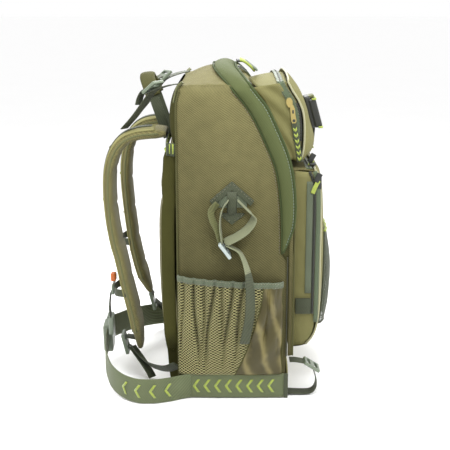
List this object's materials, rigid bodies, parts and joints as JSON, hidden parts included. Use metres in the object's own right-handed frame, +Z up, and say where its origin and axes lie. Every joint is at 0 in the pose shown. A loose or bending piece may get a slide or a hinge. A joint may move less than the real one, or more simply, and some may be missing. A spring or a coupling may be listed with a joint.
{
  "type": "tackle backpack",
  "caption": "Olive fishing backpack with zipped front panel and pockets, mesh side pockets, rod straps, padded shoulder straps, grab handle and buckled waist belt.",
  "frame": {"origin": "centre of the base, on the floor", "axes": "+Z up, -Y towards the front pockets, +Y towards the shoulder straps, -X the wearer's left"},
  "size_m": [0.3694, 0.3585, 0.4852],
  "materials": {
    "olive_twill": "matte woven twill",
    "moss_twill": "matte woven twill",
    "spacer_mesh": "matte knitted spacer mesh",
    "khaki_mesh": "open knitted mesh",
    "green_webbing": "ribbed webbing",
    "grey_green_plastic": "satin",
    "black_plastic": "satin",
    "beige_puller": "satin",
    "frame_plastic": "matte"
  },
  "bodies": {
    "pack": {"base_panel": "olive_twill", "side_panel_left": "olive_twill", "side_panel_right": "olive_twill", "back_panel": "olive_twill", "frame_sheet": "frame_plastic", "top_panel": "olive_twill", "front_sill": "olive_twill", "flap_pad_left": "moss_twill", "flap_pad_right": "moss_twill", "flap_pad_top": "moss_twill", "back_pad": "spacer_mesh", "back_yoke": "olive_twill", "mesh_pocket_left": "khaki_mesh", "mesh_pocket_right": "khaki_mesh", "bottom_web_left": "green_webbing", "bottom_web_right": "green_webbing"},
    "front": {"front_panel": "olive_twill", "upper_gusset_left": "olive_twill", "upper_gusset_right": "olive_twill", "upper_gusset_top": "olive_twill", "lower_gusset_left": "olive_twill", "lower_gusset_right": "olive_twill", "lower_gusset_top": "olive_twill", "lower_gusset_bottom": "olive_twill"},
    "upper_flap": {"upper_cover": "olive_twill", "strap_holder": "black_plastic"},
    "lower_flap": {"lower_cover": "olive_twill", "front_pouch": "khaki_mesh"},
    "upper_zip_slider": {"upper_slider": "beige_puller"},
    "upper_zip_pull": {"upper_pull": "beige_puller"},
    "main_zip_slider_left": {"main_slider_left": "black_plastic"},
    "main_zip_pull_left": {"main_pull_left": "grey_green_plastic"},
    "main_zip_slider_right": {"main_slider_right": "black_plastic"},
    "main_zip_pull_right": {"main_pull_right": "grey_green_plastic"},
    "lower_zip_slider_left": {"lower_slider_left": "black_plastic"},
    "lower_zip_slider_right": {"lower_slider_right": "black_plastic"},
    "rod_loop_left": {"rod_strap_left": "green_webbing", "rod_lock_left": "grey_green_plastic"},
    "bottom_strap_lock_left": {"bottom_lock_left": "grey_green_plastic"},
    "shoulder_left": {"shoulder_strap_left": "spacer_mesh"},
    "shoulder_adjuster_left": {"shoulder_lock_left": "grey_green_plastic"},
    "anchor_left": {"anchor_web_left": "green_webbing"},
    "lifter_left": {"lifter_web_left": "green_webbing", "lifter_lock_left": "grey_green_plastic"},
    "rod_loop_right": {"rod_strap_right": "green_webbing", "rod_lock_right": "grey_green_plastic"},
    "bottom_strap_lock_right": {"bottom_lock_right": "grey_green_plastic"},
    "shoulder_right": {"shoulder_strap_right": "spacer_mesh"},
    "shoulder_adjuster_right": {"shoulder_lock_right": "grey_green_plastic"},
    "anchor_right": {"anchor_web_right": "green_webbing"},
    "lifter_right": {"lifter_web_right": "green_webbing", "lifter_lock_right": "grey_green_plastic"},
    "sternum_strap_left": {"sternum_web_left": "green_webbing", "sternum_plug": "grey_green_plastic"},
    "sternum_strap_right": {"sternum_socket": "grey_green_plastic"},
    "handle": {"grab_handle": "green_webbing"},
    "belt_left": {"belt_wing_left": "green_webbing", "waist_socket": "grey_green_plastic"},
    "belt_right": {"belt_wing_right": "green_webbing", "waist_plug": "grey_green_plastic"}
  },
  "joints": [
    {"name": "front_opening", "type": "hinge", "parent": "pack", "child": "front", "pos_m": [0, -0.086, 0.0635], "axis": [1, 0, 0], "range_deg": [0, 70]},
    {"name": "upper_pocket_opening", "type": "hinge", "parent": "front", "child": "upper_flap", "pos_m": [0, -0.1, 0.345], "axis": [1, 0, 0], "range_deg": [0, 45]},
    {"name": "lower_pocket_opening", "type": "hinge", "parent": "front", "child": "lower_flap", "pos_m": [0, -0.117, 0.076], "axis": [1, 0, 0], "range_deg": [0, 70]},
    {"name": "main_zip_slide_left", "type": "slide", "parent": "pack", "child": "main_zip_slider_left", "axis": [-1, 0, 0], "range_m": [0, 0.08]},
    {"name": "main_zip_pull_swing_left", "type": "hinge", "parent": "main_zip_slider_left", "child": "main_zip_pull_left", "pos_m": [-0.013, -0.0205, 0.484], "axis": [-1, 0, 0], "range_deg": [0, 100]},
    {"name": "main_zip_slide_right", "type": "slide", "parent": "pack", "child": "main_zip_slider_right", "axis": [1, 0, 0], "range_m": [0, 0.08]},
    {"name": "main_zip_pull_swing_right", "type": "hinge", "parent": "main_zip_slider_right", "child": "main_zip_pull_right", "pos_m": [0.013, -0.0205, 0.484], "axis": [-1, 0, 0], "range_deg": [0, 100]},
    {"name": "upper_zip_slide", "type": "slide", "parent": "front", "child": "upper_zip_slider", "axis": [0, 0.4049, 0.9143], "range_m": [0, 0.02]},
    {"name": "upper_zip_pull_swing", "type": "hinge", "parent": "upper_zip_slider", "child": "upper_zip_pull", "pos_m": [-0.1105, -0.0825, 0.424], "axis": [1, 0, 0], "range_deg": [-30, 4]},
    {"name": "lower_zip_slide_left", "type": "slide", "parent": "front", "child": "lower_zip_slider_left", "axis": [0, 0, -1], "range_m": [0, 0.18]},
    {"name": "lower_zip_slide_right", "type": "slide", "parent": "front", "child": "lower_zip_slider_right", "axis": [1, 0, 0], "range_m": [0, 0.18]},
    {"name": "rod_loop_swing_left", "type": "hinge", "parent": "pack", "child": "rod_loop_left", "pos_m": [-0.1565, 0, 0.298], "axis": [0, 1, 0], "range_deg": [0, 80]},
    {"name": "bottom_lock_tilt_left", "type": "hinge", "parent": "pack", "child": "bottom_strap_lock_left", "pos_m": [-0.14, -0.105, 0.05], "axis": [-1, 0, 0], "range_deg": [0, 60]},
    {"name": "shoulder_swing_left", "type": "hinge", "parent": "pack", "child": "shoulder_left", "pos_m": [-0.075, 0.097, 0.385], "axis": [1, 0, 0], "range_deg": [0, 3.5]},
    {"name": "shoulder_lock_tilt_left", "type": "hinge", "parent": "shoulder_left", "child": "shoulder_adjuster_left", "pos_m": [-0.075, 0.16, 0.074], "axis": [1, 0, 0], "range_deg": [0, 30]},
    {"name": "anchor_swing_left", "type": "hinge", "parent": "pack", "child": "anchor_left", "pos_m": [-0.143, 0.085, 0.042], "axis": [0, 0, 1], "range_deg": [0, 35]},
    {"name": "lifter_swing_left", "type": "hinge", "parent": "pack", "child": "lifter_left", "pos_m": [-0.13, 0.076, 0.456], "axis": [1, 0, 0], "range_deg": [0, 20]},
    {"name": "rod_loop_swing_right", "type": "hinge", "parent": "pack", "child": "rod_loop_right", "pos_m": [0.1565, 0, 0.298], "axis": [0, -1, 0], "range_deg": [0, 80]},
    {"name": "bottom_lock_tilt_right", "type": "hinge", "parent": "pack", "child": "bottom_strap_lock_right", "pos_m": [0.14, -0.105, 0.05], "axis": [-1, 0, 0], "range_deg": [0, 60]},
    {"name": "shoulder_swing_right", "type": "hinge", "parent": "pack", "child": "shoulder_right", "pos_m": [0.075, 0.097, 0.385], "axis": [1, 0, 0], "range_deg": [0, 15]},
    {"name": "shoulder_lock_tilt_right", "type": "hinge", "parent": "shoulder_right", "child": "shoulder_adjuster_right", "pos_m": [0.075, 0.129, 0.094], "axis": [1, 0, 0], "range_deg": [0, 30]},
    {"name": "anchor_swing_right", "type": "hinge", "parent": "pack", "child": "anchor_right", "pos_m": [0.143, 0.085, 0.048], "axis": [0, 0, -1], "range_deg": [0, 15]},
    {"name": "lifter_swing_right", "type": "hinge", "parent": "pack", "child": "lifter_right", "pos_m": [0.13, 0.076, 0.456], "axis": [1, 0, 0], "range_deg": [0, 20]},
    {"name": "sternum_swing_left", "type": "hinge", "parent": "shoulder_left", "child": "sternum_strap_left", "pos_m": [-0.075, 0.185, 0.137], "axis": [0, 1, 0], "range_deg": [0, 70]},
    {"name": "sternum_swing_right", "type": "hinge", "parent": "shoulder_right", "child": "sternum_strap_right", "pos_m": [0.075, 0.185, 0.175], "axis": [0, 1, 0], "range_deg": [-70, 70]},
    {"name": "handle_swing", "type": "hinge", "parent": "pack", "child": "handle", "pos_m": [0, 0.096, 0.368], "axis": [-1, 0, 0], "range_deg": [0, 50]},
    {"name": "belt_swing_left", "type": "hinge", "parent": "pack", "child": "belt_left", "pos_m": [-0.157, 0.062, 0.0195], "axis": [0, 0, 1], "range_deg": [0, 60]},
    {"name": "belt_swing_right", "type": "hinge", "parent": "pack", "child": "belt_right", "pos_m": [0.157, 0.062, 0.0195], "axis": [0, 0, -1], "range_deg": [0, 60]}
  ],
  "couplings": [
    {"joint": "lifter_swing_left", "follows": "shoulder_swing_left", "ratio": 1},
    {"joint": "lifter_swing_right", "follows": "shoulder_swing_right", "ratio": 1},
    {"joint": "belt_swing_right", "follows": "belt_swing_left", "ratio": 1}
  ]
}
